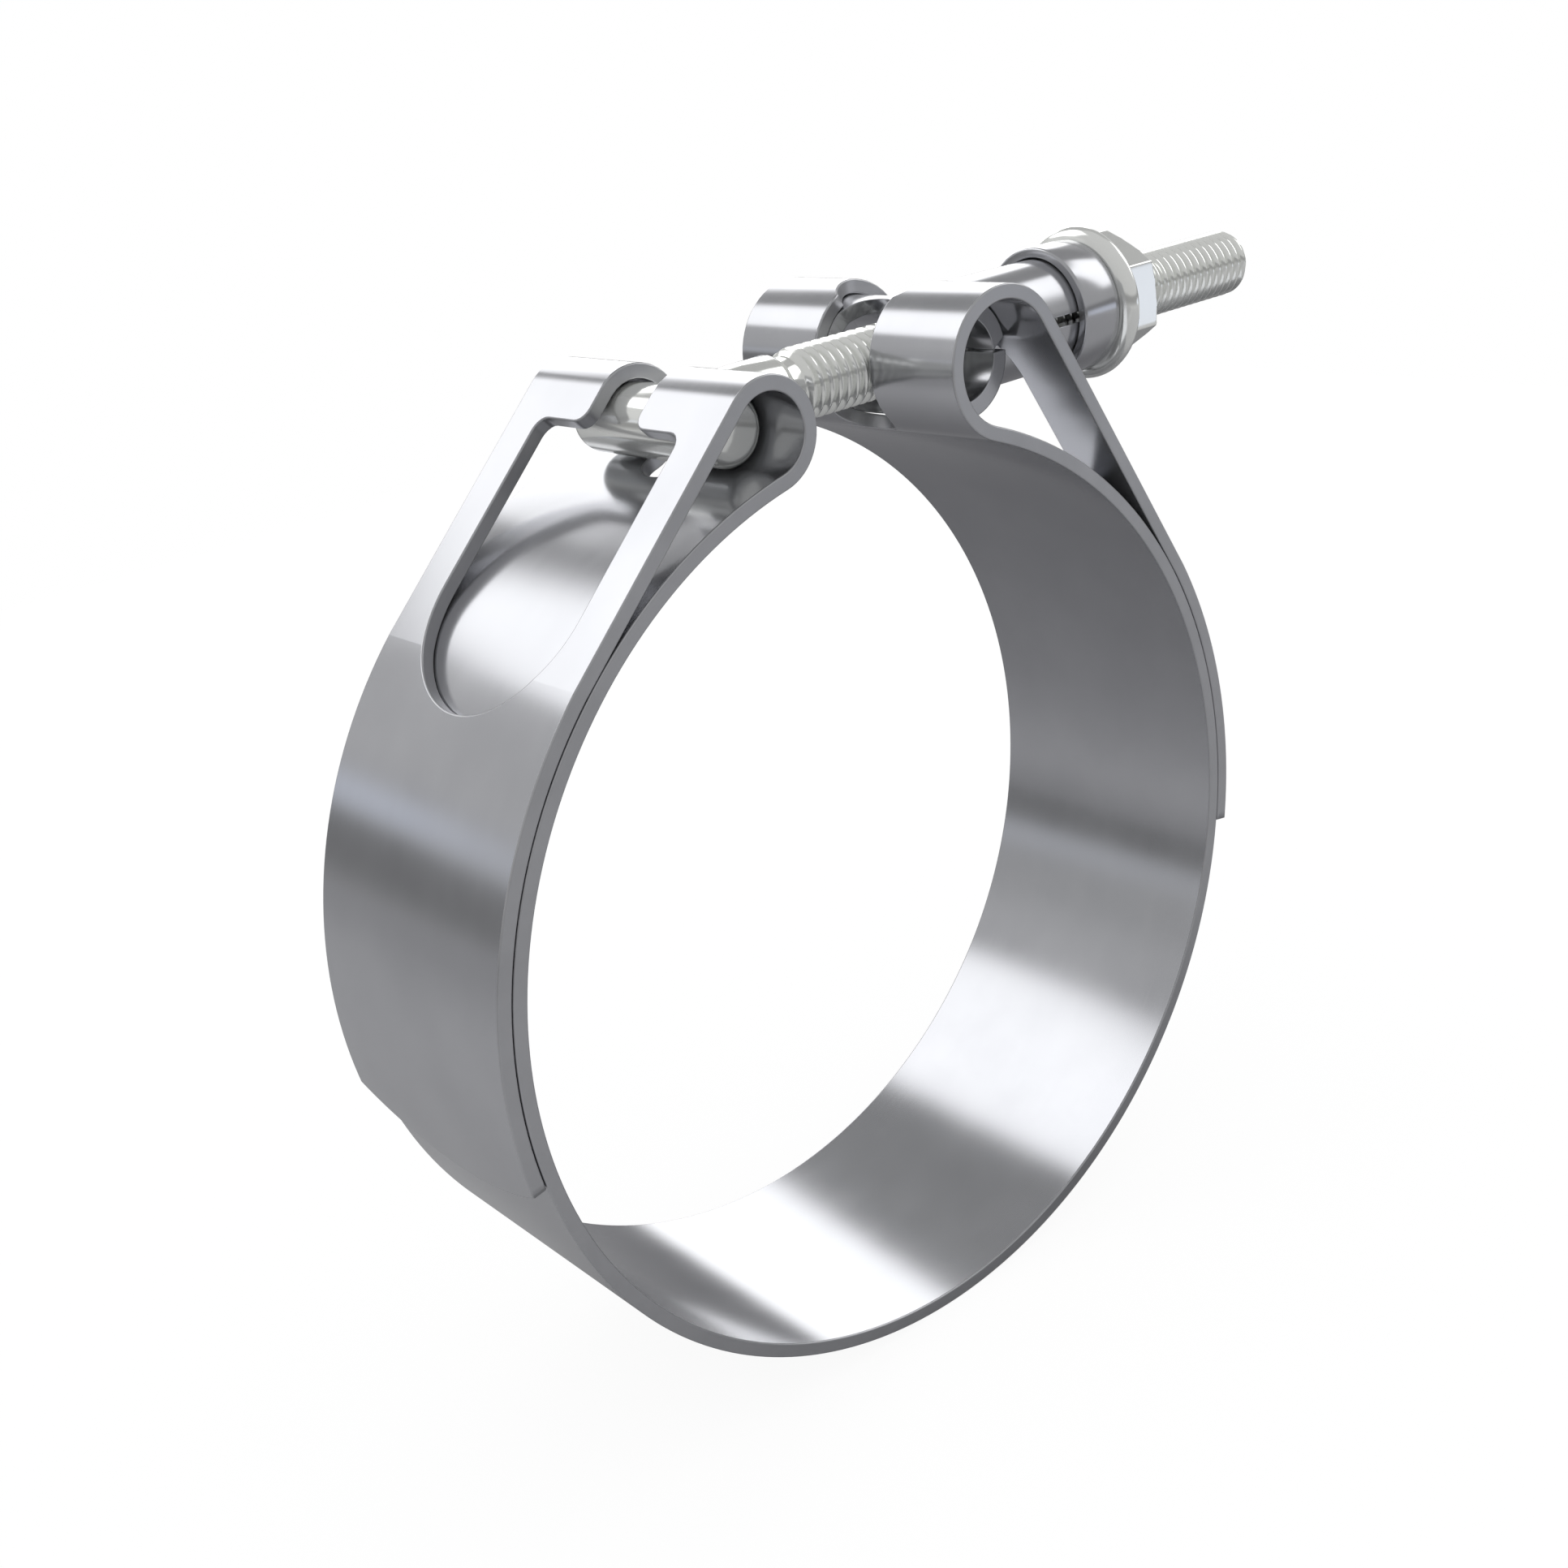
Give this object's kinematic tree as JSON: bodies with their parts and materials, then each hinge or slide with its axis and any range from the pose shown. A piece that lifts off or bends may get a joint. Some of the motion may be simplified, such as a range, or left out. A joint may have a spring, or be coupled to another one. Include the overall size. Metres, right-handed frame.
{
  "type": "quick release band clamp",
  "caption": "Quick release band clamp: a wide steel band ring with folded loops, drawn together round a pipe by a hammer head bolt, trunnion and flange nut.",
  "frame": {"origin": "centre of the pipe ring, half way along its width", "axes": "+X along the bolt towards its nut, +Y along the pipe, +Z from the pipe up to the bolt"},
  "size_m": [0.1319, 0.034, 0.1149],
  "materials": {
    "band_steel": "satin stainless strip, bright on its faces and matt on its cut edges",
    "bolt_steel": "bright polished steel with a faint warm tone",
    "trunnion_steel": "satin stainless sheet",
    "collar_steel": "satin turned stainless",
    "nut_steel": "bright polished steel with a faint warm tone"
  },
  "bodies": {
    "band": {"band": "band_steel"},
    "trunnion": {"trunnion": "trunnion_steel"},
    "t_bolt": {"t_bolt": "bolt_steel"},
    "collar": {"collar": "collar_steel"},
    "flange_nut": {"flange_nut": "nut_steel"}
  },
  "joints": [
    {"name": "trunnion_swivel", "type": "hinge", "parent": "band", "child": "trunnion", "pos_m": [0.0204, 0, 0.0544], "axis": [0, 1, 0], "range_deg": [-0.35, 0.35]},
    {"name": "bolt_play", "type": "slide", "parent": "trunnion", "child": "t_bolt", "axis": [1, 0, 0], "range_m": [-0.00015, 0.00015]},
    {"name": "collar_slide", "type": "slide", "parent": "t_bolt", "child": "collar", "axis": [1, 0, 0], "range_m": [0, 0.0201]},
    {"name": "nut_spin", "type": "hinge", "parent": "collar", "child": "flange_nut", "pos_m": [0.0492, 0, 0.0544], "axis": [1, 0, 0], "range_deg": [0, 5760]}
  ],
  "couplings": [
    {"joint": "collar_slide", "follows": "nut_spin", "m_per_rad": 0.00019894}
  ]
}
